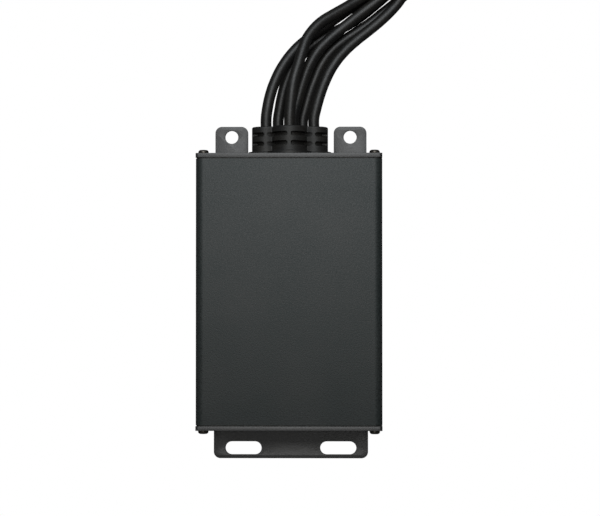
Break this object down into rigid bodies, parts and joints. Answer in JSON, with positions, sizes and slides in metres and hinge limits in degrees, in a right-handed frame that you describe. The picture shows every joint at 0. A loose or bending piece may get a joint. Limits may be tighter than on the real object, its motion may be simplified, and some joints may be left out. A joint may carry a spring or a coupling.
{
  "type": "brake controller unit",
  "caption": "Sealed trailer brake controller: extruded aluminium box with bent mounting ears and a slotted foot, and a bundle of moulded-in leads with round plugs.",
  "frame": {"origin": "centre of the box on the mounting plane, under the middle of its length and width", "axes": "+Y towards the cable end, +Z away from the mounting surface, +X to the right seen from +Z"},
  "size_m": [0.1509, 0.3779, 0.044],
  "materials": {
    "housing_coating": "fine-textured black powder coat, satin",
    "plate_coating": "fine-textured black powder coat, satin",
    "gasket_rubber": "matte",
    "gland_plastic": "moulded, fine grain",
    "screw_steel": "black zinc",
    "board_laminate": "solder mask",
    "bare_aluminium": "milled",
    "thermal_silicone": "soft, matte",
    "terminal_plastic": "moulded",
    "chip_plastic": "moulded epoxy",
    "capacitor_sleeve": "shrink sleeve",
    "lead_jacket": "smooth, satin",
    "tie_plastic": "nylon",
    "connector_plastic": "moulded, fine grain"
  },
  "bodies": {
    "root": {"housing": "housing_coating", "cable_end_plate": "plate_coating", "foot_end_plate": "plate_coating", "gasket_cable_end": "gasket_rubber", "gasket_foot_end": "gasket_rubber", "plate_screw_1": "screw_steel", "plate_screw_2": "screw_steel", "plate_screw_3": "screw_steel", "plate_screw_4": "screw_steel", "plate_screw_5": "screw_steel", "plate_screw_6": "screw_steel", "plate_screw_7": "screw_steel", "plate_screw_8": "screw_steel", "cable_gland": "gland_plastic", "circuit_board": "board_laminate", "terminal_block": "terminal_plastic", "processor_chip": "chip_plastic", "motion_sensor": "chip_plastic", "capacitor_1": "capacitor_sleeve", "capacitor_2": "capacitor_sleeve", "capacitor_3": "capacitor_sleeve", "heat_spreader": "bare_aluminium", "thermal_pad": "thermal_silicone", "power_transistor_1": "chip_plastic", "power_transistor_2": "chip_plastic", "power_transistor_3": "chip_plastic", "power_transistor_4": "chip_plastic", "inner_lead_1": "lead_jacket", "inner_lead_2": "lead_jacket", "inner_lead_3": "lead_jacket", "inner_lead_4": "lead_jacket", "inner_lead_5": "lead_jacket", "inner_lead_6": "lead_jacket", "lead_1": "lead_jacket", "lead_2": "lead_jacket", "lead_3": "lead_jacket", "lead_4": "lead_jacket", "lead_5": "lead_jacket", "lead_6": "lead_jacket", "lead_coil": "lead_jacket", "coil_tie_1": "tie_plastic", "coil_tie_2": "tie_plastic", "lead_tail_1": "lead_jacket", "lead_tail_2": "lead_jacket", "lead_tail_3": "lead_jacket", "lead_tail_4": "lead_jacket", "lead_tail_5": "lead_jacket", "lead_tail_6": "lead_jacket", "connector_1": "connector_plastic", "connector_2": "connector_plastic", "connector_3": "connector_plastic", "connector_4": "connector_plastic", "connector_5": "connector_plastic", "connector_6": "connector_plastic"}
  },
  "joints": []
}
